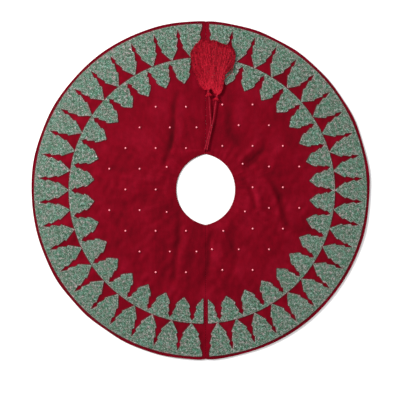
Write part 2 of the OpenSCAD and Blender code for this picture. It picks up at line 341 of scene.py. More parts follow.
def tubes(name, paths, radius, sides, material, closed_ends=True, tints=None):
    """Round strands along paths, an array of strands x points x 3. The radius is a number or one
    for each point, and the tints, if any, are one for each point too."""
    paths = np.asarray(paths, float)
    strands, steps, _ = paths.shape
    tangent = np.gradient(paths, axis=1)
    tangent /= np.linalg.norm(tangent, axis=2, keepdims=True) + 1e-12
    up = np.where(np.abs(tangent[..., 2:3]) > 0.9, [1.0, 0.0, 0.0], [0.0, 0.0, 1.0])
    out = np.cross(tangent, up)
    out /= np.linalg.norm(out, axis=2, keepdims=True) + 1e-12
    up = np.cross(out, tangent)
    angle = 2 * math.pi * np.arange(sides) / sides
    radius = np.broadcast_to(radius, (strands, steps))[..., None, None]
    ring = out[:, :, None] * np.cos(angle)[:, None] + up[:, :, None] * np.sin(angle)[:, None]
    points = (paths[:, :, None] + radius * ring).reshape(-1, 3)
    block = steps * sides
    one = grid_faces(steps, sides, wrap=True)
    offsets = np.arange(strands)[:, None, None] * block
    faces = (one[None] + offsets).reshape(-1, 4).tolist()
    if closed_ends:
        first = np.arange(sides)[::-1]
        last = np.arange(sides) + block - sides
        faces += (first[None] + offsets[:, 0]).tolist()
        faces += (last[None] + offsets[:, 0]).tolist()
    obj = new_object(name, points.tolist(), faces, material)
    if tints is not None:
        set_tint(obj, np.repeat(np.broadcast_to(tints, (strands, steps)), sides))
    return obj


def copies(name, template, faces, places, turns, sizes, tints, material):
    """Many copies of a small closed shape in one mesh. turns are 3x3 matrices."""
    template = np.asarray(template, float)
    count, corners = len(places), len(template)
    shaped = template[None] * np.asarray(sizes)[:, None]
    points = np.einsum("nij,nkj->nki", turns, shaped) + np.asarray(places)[:, None]
    offsets = (np.arange(count) * corners)[:, None]
    made = []
    for face in faces:
        made += (np.array(face)[None] + offsets).tolist()
    obj = new_object(name, points.reshape(-1, 3).tolist(), made, material, smooth=False)
    set_tint(obj, np.repeat(tints, corners))
    return obj


def lathe_template(profile, sides):
    """Closed shape round X from (x, radius) pairs, as points and faces. One of its sides is on top."""
    angle = math.pi / 2 + math.pi * (2 * np.arange(sides) + 1) / sides
    points = [(x, r * math.cos(a), r * math.sin(a)) for x, r in profile for a in angle]
    faces = grid_faces(len(profile), sides, wrap=True)[:, ::-1].tolist()
    faces.append(list(range(sides)))
    faces.append(list(range(len(points) - 1, len(points) - 1 - sides, -1)))
    return points, faces


def turn_matrices(heading, pitch):
    """Matrices that point X along a heading and tip it up by a pitch."""
    ch, sh = np.cos(heading), np.sin(heading)
    cp, sp = np.cos(pitch), np.sin(pitch)
    zero = np.zeros_like(ch)
    rows = [[ch * cp, -sh, -ch * sp], [sh * cp, ch, -sh * sp], [sp, zero, cp]]
    return np.stack([np.stack(r, axis=-1) for r in rows], axis=-2)


# ---------------------------------------------------------------- materials


class Shader:
    """A Principled material whose inputs are fed from procedural nodes."""

    def __init__(self, name, **values):
        self.material = bpy.data.materials.new(name)
        self.material.use_nodes = True
        self.tree = self.material.node_tree
        self.surface = self.tree.nodes["Principled BSDF"]
        self.coords = self.tree.nodes.new("ShaderNodeTexCoord").outputs["Object"]
        for key, value in values.items():
            self.surface.inputs[key.replace("_", " ")].default_value = value

    def link(self, source, target):
        self.tree.links.new(source, target)

    def noise(self, scale, detail=3.0, roughness=0.55, vector=None):
        node = self.tree.nodes.new("ShaderNodeTexNoise")
        node.inputs["Scale"].default_value = scale
        node.inputs["Detail"].default_value = detail
        node.inputs["Roughness"].default_value = roughness
        self.link(vector or self.coords, node.inputs["Vector"])
        return node.outputs["Fac"]

    def stretched(self, x, y, z):
        """Coordinates scaled along each axis, for streaks."""
        node = self.tree.nodes.new("ShaderNodeMapping")
        node.inputs["Scale"].default_value = (x, y, z)
        self.link(self.coords, node.inputs["Vector"])
        return node.outputs["Vector"]

    def wave(self, scale, direction="DIAGONAL", distortion=0.0, vector=None):
        node = self.tree.nodes.new("ShaderNodeTexWave")
        node.bands_direction = direction
        node.inputs["Scale"].default_value = scale
        node.inputs["Distortion"].default_value = distortion
        self.link(vector or self.coords, node.inputs["Vector"])
        return node.outputs["Fac"]

    def math(self, operation, a, b):
        node = self.tree.nodes.new("ShaderNodeMath")
        node.operation = operation
        for slot, value in zip(node.inputs, (a, b)):
            if isinstance(value, (int, float)):
                slot.default_value = value
            else:
                self.link(value, slot)
        return node.outputs[0]

    def attribute(self, name):
        node = self.tree.nodes.new("ShaderNodeAttribute")
        node.attribute_name = name
        return node.outputs["Fac"]

    def ramp(self, factor, stops):
        """Colours from (position, (r, g, b)) stops."""
        node = self.tree.nodes.new("ShaderNodeValToRGB")
        elements = node.color_ramp.elements
        while len(elements) < len(stops):
            elements.new(0.5)
        for element, (position, colour) in zip(elements, stops):
            element.position = position
            element.color = (*colour, 1)
        self.link(factor, node.inputs["Fac"])
        return node.outputs["Color"]

    def multiply(self, colour, other):
        node = self.tree.nodes.new("ShaderNodeMix")
        node.data_type = "RGBA"
        node.blend_type = "MULTIPLY"
        node.inputs["Factor"].default_value = 1
        self.link(colour, node.inputs["A"])
        self.link(other, node.inputs["B"])
        return node.outputs["Result"]

    def tint(self, colour, factor, low, high):
        """colour times a grey that runs from low to high with factor."""
        return self.multiply(colour, self.ramp(factor, [(0.25, (low,) * 3), (0.75, (high,) * 3)]))

    def colour(self, source):
        self.link(source, self.surface.inputs["Base Color"])

    def roughness(self, factor, low, high):
        node = self.tree.nodes.new("ShaderNodeMapRange")
        node.inputs["To Min"].default_value = low
        node.inputs["To Max"].default_value = high
        self.link(factor, node.inputs["Value"])
        self.link(node.outputs["Result"], self.surface.inputs["Roughness"])

    def bump(self, height, distance, strength=1.0):
        node = self.tree.nodes.new("ShaderNodeBump")
        node.inputs["Distance"].default_value = distance
        node.inputs["Strength"].default_value = strength
        self.link(height, node.inputs["Height"])
        self.link(node.outputs["Normal"], self.surface.inputs["Normal"])


def velvet_material(name):
    """Cut-pile velvet: brushed patches, fine pile and a red sheen. Its tint carries painted light and shade
    from the folds, and faint pile streaks.
    """
    s = Shader(name, Sheen_Weight=0.3, Sheen_Roughness=0.4, Specular_IOR_Level=0.04)
    s.surface.inputs["Sheen Tint"].default_value = (1.0, 0.02, 0.1, 1)
    # The tint attribute adds painted light and shade to the noise patches.
    patches = s.math("ADD", s.math("MULTIPLY", s.noise(9, 4, 0.6), 0.7), s.attribute("tint"))
    base = s.ramp(patches, VELVET_REDS)
    brushed = s.tint(base, s.noise(48, 4, 0.65), 0.87, 1.12)
    brushed = s.tint(brushed, s.noise(90, 3, 0.6, s.stretched(1, 0.3, 1)), 0.88, 1.1)
    pile = s.noise(1400, 2)
    s.colour(s.tint(brushed, pile, 0.8, 1.18))
    s.roughness(patches, 0.72, 0.95)
    s.bump(s.math("ADD", pile, s.math("MULTIPLY", s.noise(260, 3), 0.8)), 0.5 * MM, 0.55)
    return s.material


def woven_material(name, colour, threads_per_mm=2.2):
    """Plain weave: two crossed sets of threads."""
    s = Shader(name, Specular_IOR_Level=0.3, Sheen_Weight=0.15)
    scale = threads_per_mm / MM / 6.3
    weave = s.math("MULTIPLY", s.wave(scale, "X", 0.4), s.wave(scale, "Y", 0.4))
    light = tuple(min(1, c * 1.25) for c in colour)
    base = s.ramp(weave, [(0.1, tuple(c * 0.7 for c in colour)), (0.9, light)])
    s.colour(s.tint(base, s.noise(25, 4), 0.88, 1.1))
    s.roughness(s.noise(60), 0.6, 0.85)
    s.bump(weave, 0.2 * MM, 0.6)
    return s.material


def felt_material(name, colour):
    """Non-woven interlining: matted fibres."""
    s = Shader(name, Specular_IOR_Level=0.2)
    fibres = s.noise(700, 6, 0.7)
    base = s.ramp(fibres, [(0.3, tuple(c * 0.82 for c in colour)), (0.7, colour)])
    s.colour(s.tint(base, s.noise(30, 3), 0.92, 1.05))
    s.roughness(fibres, 0.85, 1.0)
    s.bump(fibres, 0.25 * MM, 0.7)
    return s.material


def yarn_material(name, dark, mid, light, sheen):
    """Twisted or loose yarn with fine fibres. Its tint makes single strands darker or lighter, by their own
    tone and by painted shade.
    """
    s = Shader(name, Sheen_Weight=sheen, Sheen_Roughness=0.3, Specular_IOR_Level=0.06)
    s.surface.inputs["Sheen Tint"].default_value = (*(c / max(light) for c in light), 1)
    strands = s.math("ADD", s.noise(170, 3, 0.6), s.attribute("tint"))
    base = s.ramp(strands, [(0.2, dark), (0.5, mid), (0.8, light)])
    fibres = s.wave(1300, "DIAGONAL", 1.5)
    s.colour(s.tint(base, fibres, 0.85, 1.12))
    s.roughness(strands, 0.45, 0.7)
    s.bump(fibres, 0.12 * MM, 0.6)
    return s.material


def bead_material(name, stops, roughness):
    """Glossy glass-like beads, each with its own tint, in patches of cooler and of warmer beads."""
    s = Shader(name, Coat_Weight=0.35, Coat_Roughness=0.12, Specular_IOR_Level=0.6)
    patches = s.math("MULTIPLY", s.math("SUBTRACT", s.noise(150, 2, 0.6), 0.5), 0.7)
    mixed = s.math("ADD", s.attribute("tint"), patches)
    warmth = s.ramp(s.noise(75, 4, 0.75), BEAD_WARMTH)
    s.colour(s.tint(s.multiply(s.ramp(mixed, stops), warmth), s.noise(900, 2), 0.88, 1.1))
    s.roughness(s.noise(500, 2), *roughness)
    s.bump(s.noise(1500, 2), 0.08 * MM, 0.4)
    return s.material


def pearl_material(name):
    """Nacre: pinkish white with a soft coat."""
    s = Shader(name, Coat_Weight=0.3, Coat_Roughness=0.12, Specular_IOR_Level=0.35, Subsurface_Weight=0.08)
    s.surface.inputs["Subsurface Radius"].default_value = (0.002, 0.0012, 0.0012)
    swirl = s.noise(420, 4, 0.6)
    s.colour(s.ramp(swirl, [(0.3, (0.72, 0.15, 0.2)), (0.5, (0.93, 0.25, 0.31)), (0.75, (1.0, 0.4, 0.45))]))
    s.roughness(swirl, 0.16, 0.3)
    s.bump(swirl, 0.05 * MM, 0.3)
    return s.material


# Colours along a ramp, as (position, (red, green, blue)).
VELVET_REDS = [(0.0, (0.062, 0.0001, 0.0026)), (0.35, (0.142, 0.0003, 0.006)), (0.7, (0.225, 0.003, 0.015))]
GREENS = [
    (0.0, (0.02, 0.075, 0.04)),
    (0.22, (0.07, 0.17, 0.1)),
    (0.4, (0.1, 0.28, 0.17)),
    (0.55, (0.17, 0.3, 0.23)),
    (0.74, (0.26, 0.46, 0.38)),
    (0.9, (0.34, 0.53, 0.46)),
]
PALES = [(0.0, (0.2, 0.17, 0.14)), (0.5, (0.4, 0.3, 0.28)), (1.0, (0.6, 0.52, 0.5))]
BEAD_WARMTH = [(0.35, (0.66, 0.94, 0.87)), (0.65, (1.68, 0.78, 0.93))]

velvet_cloth = velvet_material("velvet")
piping_cloth = velvet_material("piping_velvet")
lining_cloth = woven_material("lining_weave", (0.17, 0.006, 0.014))
felt = felt_material("interlining_felt", (0.78, 0.75, 0.69))
tape_cloth = woven_material("tape_weave", (0.72, 0.69, 0.63), 1.4)
cotton = yarn_material("cotton_cord", (0.55, 0.5, 0.42), (0.75, 0.71, 0.63), (0.86, 0.83, 0.77), 0.1)
cord_yarn = yarn_material("tie_cord", (0.1, 0.001, 0.006), (0.25, 0.006, 0.018), (0.4, 0.018, 0.04), 0.25)
tassel_yarn = yarn_material(
    "tassel_yarn", (0.12, 0.0004, 0.005), (0.34, 0.003, 0.015), (0.54, 0.014, 0.036), 0.2)
sewing_thread = yarn_material(
    "sewing_thread", (0.07, 0.001, 0.004), (0.13, 0.002, 0.008), (0.2, 0.005, 0.016), 0.1)
# Couched thread whose dark colour is painted shade: it stands for the shadow along the trees' edges.
shade_outline_thread = yarn_material(
    "shade_outline_thread", (0.03, 0.008, 0.008), (0.07, 0.015, 0.018), (0.12, 0.035, 0.035), 0.05)
ground_thread = woven_material("beadwork_ground", (0.05, 0.1, 0.07), 1.6)
green_beads = bead_material("green_beads", GREENS, (0.18, 0.4))
pale_beads = bead_material("edging_beads", PALES, (0.2, 0.45))
pearl_nacre = pearl_material("pearl_nacre")

# ---------------------------------------------------------------- cloth pieces


def finish_piece(obj, nodes, body=None):
    """Hides the CAD nodes that a piece stands for. It rides on its body or, with none, stays where it was
    built.
    """
    if nodes:
        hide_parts(*nodes)
    if body:
        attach(obj, body)
    else:
        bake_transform(obj)


def build_velvet(name, side):
    edge = [0.5 * MM, 0.8 * MM, 1.1 * MM, 1.6 * MM, 2.4 * MM, 3.2 * MM]
    across = graded(math.pi * HEM_R, 5.4 * MM, edge)
    along = graded(PANEL_R - HOLE_R, 4.2 * MM, edge)
    x, y, from_hole, from_hem = half_grid(side, across, along)
    raised = lift(x, y)
    drop = rounded(from_hole, 3.2 * MM, 2.3 * MM)
    drop = np.maximum(drop, rounded(np.abs(x) - EDGE_GAP, 1.7 * MM, 1.2 * MM))
    drop = np.maximum(drop, rounded(from_hem, 2.5 * MM, 1.2 * MM))
    low = LINING_TOP + 0.03 * MM
    obj = sheet("velvet_" + name, x, y, low + raised, FACE + raised - drop, velvet_cloth)
    # The tint holds painted light and shade of the folds, with faint pile streaks.
    set_tint(obj, np.tile(painted_shade_and_streaks(x, y).ravel(), 2))
    finish_piece(obj, ["velvet_" + name])


def build_lining(name, side):
    edge = [1.5 * MM, 2 * MM, 3 * MM]
    across = graded(math.pi * HEM_R, 11 * MM, edge)
    along = graded(PANEL_R - HOLE_R, 9 * MM, edge)
    x, y, from_hole, _ = half_grid(side, across, along)
    raised = lift(x, y)
    drop = rounded(from_hole, 4 * MM, 0.3 * MM)
    obj = sheet("lining_" + name, x, y, raised, LINING_TOP + raised - drop, lining_cloth)
    finish_piece(obj, ["lining_" + name])


def ring_band(side, inner, outer, steps):
    """Grid over one half of a flat band between two radii about the hem's centre."""
    share = np.linspace(0, 1, int(math.pi * outer / (9 * MM)))
    rows = [hem_edge(side, share, r, 4 * MM) for r in np.linspace(inner, outer, steps)]
    return np.array([r[0] for r in rows]), np.array([r[1] for r in rows])


def build_backing(name, side):
    points = node_points("beadwork_backing_" + name)
    radii = np.hypot(points[:, 0] - HEM_X, points[:, 1] - HEM_Y)
    x, y = ring_band(side, radii.min() + 0.5 * MM, radii.max() - 0.5 * MM, 24)
    raised = lift(x, y)
    low, high = LINING_TOP + LAYER_GAP, BACKING_TOP
    obj = sheet("beadwork_backing_" + name, x, y, low + raised, high + raised, felt)
    finish_piece(obj, ["beadwork_backing_" + name], body=name + "_half")


def build_stay_tape(name, side):
    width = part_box("neck_stay_tape_right")[1].y - HOLE_TIP
    share = np.linspace(0.02, 0.98, 160)
    ex, ey = hole_edge(side, share)
    reach = np.linspace(1.2 * MM, width, 6)[:, None]
    radius = np.hypot(ex, ey)
    x, y = ex * (1 + reach / radius), ey * (1 + reach / radius)
    low, high = LINING_TOP + LAYER_GAP, BACKING_TOP
    raised = lift(x, y)
    obj = sheet("neck_stay_tape_" + name, x, y, low + raised, high + raised, tape_cloth)
    finish_piece(obj, ["neck_stay_tape_" + name], body=name + "_half")


def build_piping(name, side):
    """Round welt with its flat flange, swept along the hem."""
    share = graded(math.pi * HEM_R, 4 * MM, [1 * MM, 1.5 * MM, 2 * MM])
    x, y = sewn_hem(side, share, PIPE_PATH_R)
    out = np.stack([(x - HEM_X), (y - HEM_Y)], axis=-1) / PIPE_PATH_R
    flange_low, flange_high = LINING_TOP + LAYER_GAP - PIPE_R, BACKING_TOP - PIPE_R
    flange = np.array([[-FLANGE_REACH, flange_low], [-FLANGE_REACH, flange_high]])
    turn = np.radians(np.linspace(210, -130, 20))
    welt = PIPE_R * np.stack([np.cos(turn), np.sin(turn)], axis=-1)
    section = np.vstack([flange, welt])
    middle = section.mean(axis=0)
    tuck = 0.75 + 0.25 * smooth_step(np.minimum(share, 1 - share) * math.pi * HEM_R / (5 * MM))
    shaped = middle + (section - middle) * tuck[:, None, None]
    ground = PIPE_R + lift(x, y)
    points = np.concatenate([
        np.stack([x, y], axis=-1)[:, None] + shaped[..., :1] * out[:, None],
        ground[:, None, None] + shaped[..., 1:],
    ], axis=-1).reshape(-1, 3)
    count = len(section)
    faces = grid_faces(len(share), count, wrap=True).tolist()
    faces.append(list(range(count)))
    faces.append(list(range(len(points) - 1, len(points) - 1 - count, -1)))
    obj = new_object("hem_piping_" + name, points.tolist(), faces, piping_cloth)
    face_outwards(obj)
    finish_piece(obj, ["hem_piping_" + name])


def rope(name, path, ply_offset, ply_radius, pitch, material, plies=3, sides=8):
    """Plies twisted round a path, an array of points x 3."""
    step = np.linalg.norm(np.diff(path, axis=0), axis=1)
    travelled = np.concatenate([[0], np.cumsum(step)])
    tangent = np.gradient(path, axis=0)
    tangent /= np.linalg.norm(tangent, axis=1, keepdims=True)
    out = np.cross(tangent, [0, 0, 1])
    out /= np.linalg.norm(out, axis=1, keepdims=True)
    up = np.cross(out, tangent)
    strands = []
    for ply in range(plies):
        angle = (2 * math.pi * (travelled / pitch + ply / plies))[:, None]
        strands.append(path + ply_offset * (out * np.cos(angle) + up * np.sin(angle)))
    return tubes(name, np.array(strands), ply_radius, sides, material)


def build_filler_cord(name, side):
    share = np.linspace(0.001, 0.999, int(math.pi * HEM_R / (4 * MM)))
    x, y = sewn_hem(side, share, PIPE_PATH_R, 3 * MM)
    path = np.stack([x, y, PIPE_R + lift(x, y)], axis=-1)
    obj = rope("hem_filler_cord_" + name, path, 0.68 * MM, 0.75 * MM, 12 * MM, cotton, sides=5)
    finish_piece(obj, ["hem_filler_cord_" + name], body=name + "_half")


def stitch_row(name, x, y, z, stitch, gap, material, radius=0.28 * MM):
    """Short raised stitches along a path, with a gap after each."""
    path = np.stack([x, y, z], axis=-1)
    travelled = np.concatenate([[0], np.cumsum(np.linalg.norm(np.diff(path, axis=0), axis=1))])
    starts = np.arange(gap, travelled[-1] - stitch - gap, stitch + gap)
    share = np.linspace(0, 1, 5)
    at = starts[:, None] + share * stitch
    points = np.stack([np.interp(at, travelled, path[:, k]) for k in range(3)], axis=-1)
    points[..., 2] += radius * (np.sin(math.pi * share) * 1.6 - 0.8)
    return tubes(name, points, radius, 5, material)


def build_neck_stitching(name, side):
    """Understitching just inside the hole's turned edge."""
    share = np.linspace(0.015, 0.985, 500)
    ex, ey = hole_edge(side, share)
    scale = 1 + 4.5 * MM / np.hypot(ex, ey)
    x, y = ex * scale, ey * scale
    obj = stitch_row("neck_stitching_" + name, x, y, FACE + lift(x, y), 3.0 * MM, 1.6 * MM, sewing_thread)
    finish_piece(obj, [], body=name + "_half")


def build_front_seam():
    """Stitches that show in the seam's groove, from the hole's corner to the hem."""
    low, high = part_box("front_seam_thread")
    y = np.linspace(high.y, low.y, 400)
    x = np.zeros_like(y)
    z = FACE + lift(x, y) - 1.2 * MM
    obj = stitch_row("front_seam_stitches", x, y, z, 2.6 * MM, 0.6 * MM, sewing_thread, 0.4 * MM)
    finish_piece(obj, ["front_seam_thread"])


# ---------------------------------------------------------------- beadwork

BEAD_SPACING = 3.75 * MM
BEAD_HALF = 2.35 * MM       # half the length of a tube bead
BEAD_R = 0.95 * MM
EDGING_R = 1.3 * MM         # widest radius of an edging bead
EDGING_SPACING = 2.6 * MM
EDGING_INSET = 1.2 * MM
SHADE_OUTLINE_R = 1.4 * MM        # thread laid round the trees, dark as painted shade along their edges
SHADE_OUTLINE_OUT = 1.3 * MM
GROUND_T = 0.9 * MM
GROUND_SUNK = 0.15 * MM
PEARL_R = 3.2 * MM


def merged_top(node):
    """The upper faces of a CAD node as points and triangles, with shared corners merged."""
    mesh = frame["nodes"][node].data
    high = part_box(node)[1].z
    index, points, faces = {}, [], []
    for polygon in mesh.polygons:
        corners = [mesh.vertices[i].co for i in polygon.vertices]
        if any(abs(c.z - high) > 0.01 * MM for c in corners):
            continue
        face = []
        for c in corners:
            key = (round(c.x, 6), round(c.y, 6))
            if key not in index:
                index[key] = len(points)
                points.append((c.x, c.y, 0.0))
            face.append(index[key])
        if len(set(face)) > 2:
            faces.append(face)
    return points, faces


def outline_loops(faces):
    """Closed outlines of a flat mesh as lists of corners. The mesh lies on the left of each outline."""
    edges = {(a, b) for face in faces for a, b in zip(face, face[1:] + face[:1])}
    after = {a: b for a, b in edges if (b, a) not in edges}
    loops = []
    while after:
        start, at = after.popitem()
        loop = [start]
        while at != start:
            loop.append(at)
            at = after.pop(at)
        loops.append(loop)
    return loops


def beside_outline(points, loop, spacing, inwards):
    """Evenly spaced points along an outline, moved inwards from it by a distance."""
    corners = np.array([points[i][:2] for i in loop + loop[:1]])
    travelled = np.concatenate([[0], np.cumsum(np.linalg.norm(np.diff(corners, axis=0), axis=1))])
    at = np.linspace(0, travelled[-1], int(travelled[-1] / spacing), endpoint=False)
    spots = np.stack([np.interp(at, travelled, corners[:, k]) for k in range(2)], axis=-1)
    ahead = np.roll(spots, -1, axis=0) - np.roll(spots, 1, axis=0)
    ahead /= np.linalg.norm(ahead, axis=1, keepdims=True) + 1e-12
    return spots + inwards * np.stack([-ahead[:, 1], ahead[:, 0]], axis=-1)


def build_ground(name, points, faces):
    """Thin stitched ground under the beads, which follows the cloth."""
    work = bmesh.new()
    made = [work.verts.new(p) for p in points]
    for face in faces:
        work.faces.new([made[i] for i in face])
    spacing = 16 * MM
    cuts = int(HEM_R / spacing) + 2
    for axis in (Vector((1, 0, 0)), Vector((0, 1, 0))):
        for k in range(-cuts, cuts + 1):
            geometry = work.verts[:] + work.edges[:] + work.faces[:]
            bmesh.ops.bisect_plane(work, geom=geometry, plane_co=axis * k * spacing, plane_no=axis)
    grown = bmesh.ops.extrude_face_region(work, geom=work.faces[:])
    upper = [g for g in grown["geom"] if isinstance(g, bmesh.types.BMVert)]
    for vert in upper:
        vert.co.z = GROUND_T
    bmesh.ops.recalc_face_normals(work, faces=work.faces)
    mesh = bpy.data.meshes.new(name)
    work.to_mesh(mesh)
    work.free()
    co = np.zeros(len(mesh.vertices) * 3, np.float32)
    mesh.vertices.foreach_get("co", co)
    co = co.reshape(-1, 3)
    co[:, 2] += FACE + lift(co[:, 0], co[:, 1]) - GROUND_SUNK
    mesh.vertices.foreach_set("co", co.ravel())
    mesh.materials.append(ground_thread)
    obj = bpy.data.objects.new(name, mesh)
    bpy.context.scene.collection.objects.link(obj)
    return obj


def hex_places(low, high, spacing, jitter, draw):
    """Jittered hexagonal grid of points over a box."""
    rows = np.arange(low[1], high[1], spacing * math.sqrt(3) / 2)
    columns = np.arange(low[0], high[0], spacing)
    x, y = np.meshgrid(columns, rows)
    x = x + (np.arange(len(rows)) % 2)[:, None] * spacing / 2
    spots = np.stack([x.ravel(), y.ravel()], axis=-1)
    return spots + draw.uniform(-jitter, jitter, spots.shape) * spacing


def build_beads(ring, name):
    """Tube beads at random headings fill each tree; round beads edge it in a paler colour."""
    node = ring + "_tree_border_" + name
    points, faces = merged_top(node)
    ground = build_ground(ring + "_tree_ground_" + name, points, faces)
    finish_piece(ground, [], body=name + "_half")
    shape = BVHTree.FromPolygons([Vector(p) for p in points], faces)

    def inside(spots):
        down = Vector((0, 0, -1))
        return np.array([shape.ray_cast(Vector((sx, sy, 1)), down)[0] is not None for sx, sy in spots])

    draw = np.random.default_rng(len(node) + 7)
    low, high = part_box(node)
    spots = hex_places(low, high, BEAD_SPACING, 0.28, draw)
    spots = spots[inside(spots)]
    heading = draw.uniform(0, math.pi, len(spots))
    ends = np.stack([np.cos(heading), np.sin(heading)], axis=-1) * BEAD_HALF
    whole = inside(spots + ends) & inside(spots - ends)
    length = np.where(whole, draw.uniform(0.85, 1.15, len(spots)), 0.45)
    rise = FACE + 1.45 * MM + draw.uniform(0, 0.7, len(spots)) * MM
    places = np.column_stack([spots, rise + lift(spots[:, 0], spots[:, 1])])
    turns = turn_matrices(heading, draw.normal(0, 0.12, len(spots)))
    sizes = np.column_stack([length, np.ones(len(spots)), np.ones(len(spots))])
    tube, tube_faces = lathe_template([(-BEAD_HALF, BEAD_R), (BEAD_HALF, BEAD_R)], 5)
    patchy = plane_waves(*spots.T, 17, 24, 0.008, 0.022)
    tints = 0.48 + draw.uniform(-0.29, 0.29, len(spots)) + 0.19 * patchy
    beads = copies(node, tube, tube_faces, places, turns, sizes, tints, green_beads)
    finish_piece(beads, [node], body=name + "_half")

    loops = outline_loops(faces)
    rims = [beside_outline(points, loop, EDGING_SPACING, EDGING_INSET) for loop in loops]
    rim = np.vstack(rims)
    profile = [(-0.85 * MM, 0.7 * MM), (0, EDGING_R), (0.85 * MM, 0.7 * MM)]
    seed, seed_faces = lathe_template(profile, 6)
    places = np.column_stack([rim, FACE + 1.0 * MM + lift(rim[:, 0], rim[:, 1])])
    turns = turn_matrices(draw.uniform(0, math.pi, len(rim)), draw.normal(0, 0.3, len(rim)))
    sizes = draw.uniform(0.85, 1.12, len(rim))[:, None] * np.ones((1, 3))
    edging = copies(ring + "_tree_edging_" + name, seed, seed_faces, places, turns, sizes,
                    draw.uniform(0, 1, len(rim)), pale_beads)
    finish_piece(edging, [], body=name + "_half")
    # Dark couched thread just outside each tree, dark as painted shade along its edge.
    around = beside_outline(points, max(loops, key=len), 3.2 * MM, -SHADE_OUTLINE_OUT)
    around = np.vstack([around, around[:1]])
    thread = np.column_stack([around, FACE + 0.3 * MM + lift(around[:, 0], around[:, 1])])
    outline = tubes(ring + "_tree_shade_outline_" + name, thread[None], SHADE_OUTLINE_R, 6, shade_outline_thread)
    finish_piece(outline, [], body=name + "_half")


def clusters(points, reach):
    """Middles of groups of points, each group within reach of its first point."""
    left, found = points, []
    while len(left):
        near = np.linalg.norm(left - left[0], axis=1) < reach
        group = left[near]
        found.append((group.min(axis=0) + group.max(axis=0)) / 2)
        left = left[~near]
    return np.array(found)


def build_pearls(name):
    node = "pearls_" + name
    middles = clusters(node_points(node)[:, :2], 9 * MM)
    bore = 0.09                 # radians round each end, where the thread goes through
    angles = np.linspace(bore, math.pi - bore, 15)
    profile = [(-PEARL_R * math.cos(a), PEARL_R * math.sin(a)) for a in angles]
    ball, ball_faces = lathe_template(profile, 22)
    z = FACE + lift(middles[:, 0], middles[:, 1]) + PEARL_R / 2
    count = len(middles)
    draw = np.random.default_rng(31)
    turns = turn_matrices(draw.uniform(0, math.pi, count), np.zeros(count))
    sizes = draw.uniform(0.94, 1.04, count)[:, None] * np.ones((1, 3))
    places = np.column_stack([middles, z])
    pearls = copies(node, ball, ball_faces, places, turns, sizes, np.zeros(count), pearl_nacre)
    pearls.data.polygons.foreach_set("use_smooth", [True] * len(pearls.data.polygons))
    finish_piece(pearls, [node], body=name + "_half")


# ---------------------------------------------------------------- ties

CORD_PLY_OFFSET = 1.15 * MM
CORD_PLY_R = 1.3 * MM
CORD_PITCH = 13 * MM        # length of one turn of a cord's plies
YARN_R = 0.62 * MM
UP = np.array([0, 0, 1.0])


def knot_at(name):
    return np.array(box_centre("tie_knot_" + name))


def smooth_path(controls, count):
    """Points along a Catmull-Rom curve through the controls."""
    c = np.array(controls, float)
    c = np.vstack([2 * c[0] - c[1], c, 2 * c[-1] - c[-2]])
    made = []
    spans = len(c) - 3
    for k in range(spans):
        t = np.linspace(0, 1, count // spans, endpoint=k == spans - 1)[:, None]
        p0, p1, p2, p3 = c[k:k + 4]
        made.append(0.5 * (2 * p1 + (p2 - p0) * t + (2 * p0 - 5 * p1 + 4 * p2 - p3) * t**2
                           + (3 * p1 - p0 - 3 * p2 + p3) * t**3))
    return np.vstack(made)


def tassel_axis(name):
    """Middle of the binding, and unit vectors along and across the cord's end there."""
    middle = np.array(box_centre("tassel_binding_" + name))
    ruff = np.array(box_centre("tassel_ruff_" + name))
    along = middle - ruff
    along[2] = 0
    along /= np.linalg.norm(along)
    return middle, along, np.array([along[1], -along[0], 0])


def build_tab(name, side):
    """Folded velvet tab under the knot, with a puffed top."""
    low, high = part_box("tie_tab_" + name)
    u = np.linspace(0, 1, 15)
    v = np.linspace(0, 1, 25)
    across, along = np.meshgrid(u, v)
    inset = 0.22 * (2 * along - 1) ** 4
    x = low.x + (high.x - low.x) * (inset + (1 - 2 * inset) * across)
    y = low.y + (high.y - low.y) * along
    dome = np.clip(1 - (2 * across - 1) ** 6, 0, 1) * np.clip(1 - (2 * along - 1) ** 8, 0, 1)
    top = FACE + 1.0 * MM + 2.6 * MM * np.sqrt(dome)
    obj = sheet("tie_tab_" + name, x, y, np.full_like(x, FACE - 0.6 * MM), top, velvet_cloth)
    finish_piece(obj, ["tie_tab_" + name], body=name + "_half")
    knot = knot_at(name)
    turns, steps = 5, 70
    t = np.linspace(0, 1, steps)
    coil = np.stack([
        knot[0] + 1.3 * MM * np.cos(2 * math.pi * turns * t),
        knot[1] + 1.3 * MM * np.sin(2 * math.pi * turns * t),
        FACE + 3.2 * MM + (knot[2] - FACE - 6.6 * MM) * t,
    ], axis=-1)[None]
    shank = tubes("tie_shank_" + name, coil, 0.6 * MM, 6, sewing_thread)
    finish_piece(shank, [], body=name + "_half")


def build_knot(name):
    """Round knot of cord: turns wound over each other from pole to pole."""
    centre = knot_at(name)
    t = np.linspace(0, 1, 150)
    lat = (t - 0.5) * math.pi * 0.96
    lon = 2 * math.pi * 4.5 * t
    r = 2.25 * MM
    ball = r * np.stack([np.cos(lat) * np.cos(lon), np.sin(lat), np.cos(lat) * np.sin(lon)], axis=-1)
    heading = math.radians(77)
    across, along = math.cos(heading), math.sin(heading)
    spin = np.array([[along, across, 0], [-across, along, 0], [0, 0, 1]])
    obj = tubes("tie_knot_" + name, (ball @ spin.T + centre)[None], 0.95 * MM, 8, cord_yarn)
    finish_piece(obj, ["tie_knot_" + name], body=name + "_tie_foot")


def build_cord(name, side):
    start = knot_at(name)
    middle, along, _ = tassel_axis(name)
    parting = np.array([0.020 + side * 0.0028, 0.226, start[2] - 0.4 * MM])
    drift = np.array([0.0305 if side > 0 else 0.0162, 0.270, start[2] - 0.5 * MM])
    end = middle - along * 4 * MM
    before_end = end - along * 32 * MM - UP * 0.3 * MM
    path = smooth_path([start, parting, drift, before_end, end], 240)
    obj = rope("tie_cord_" + name, path, CORD_PLY_OFFSET, CORD_PLY_R, CORD_PITCH, cord_yarn)
    finish_piece(obj, ["tie_cord_" + name], body=name + "_tie")


